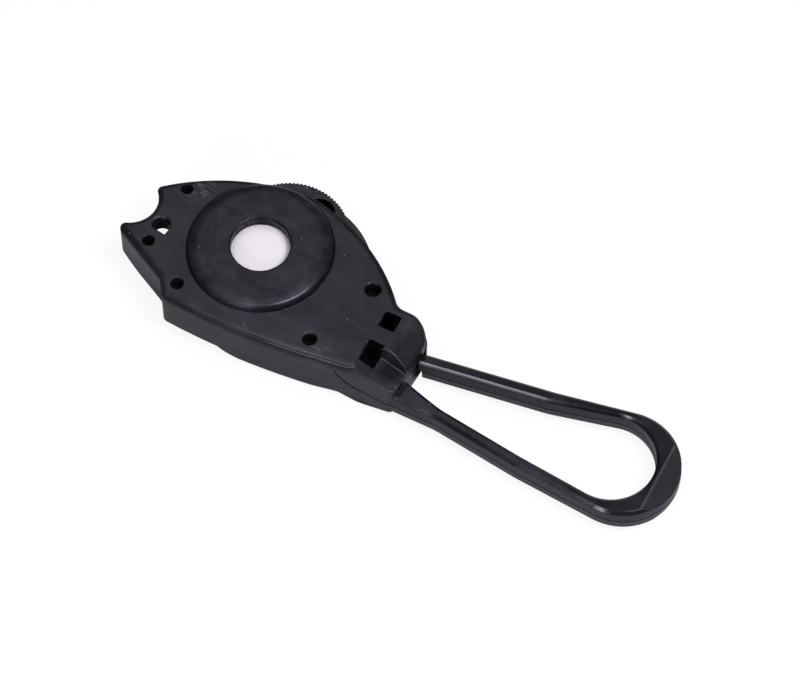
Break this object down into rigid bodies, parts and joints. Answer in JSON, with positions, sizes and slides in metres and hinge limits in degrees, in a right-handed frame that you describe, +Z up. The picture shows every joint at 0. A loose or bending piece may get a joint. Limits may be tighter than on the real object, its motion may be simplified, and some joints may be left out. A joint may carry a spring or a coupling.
{
  "type": "drop cable clamp",
  "caption": "Fish-shaped plastic tension clamp for a round drop cable: moulded shells around a knurled eccentric cam on a pivot, with a long bail loop to hang it by.",
  "frame": {"origin": "the cam's pivot axis on the flat underside of the drum", "axes": "+X from the tail to the bail, +Y to the side where the cam pokes out, +Z up through the boss"},
  "size_m": [0.1662, 0.0522, 0.0202],
  "materials": {
    "black_plastic": "moulded black plastic with a soft sheen",
    "white_plastic": "smooth white moulded plastic"
  },
  "bodies": {
    "body": {"lower_shell": "black_plastic", "upper_shell": "black_plastic", "pivot": "white_plastic"},
    "cam": {"cam_wheel": "black_plastic"}
  },
  "joints": [
    {"name": "cam_turn", "type": "hinge", "parent": "body", "child": "cam", "pos_m": [0, 0, 0.011], "axis": [0, 0, 1], "range_deg": [-90, 0]}
  ]
}
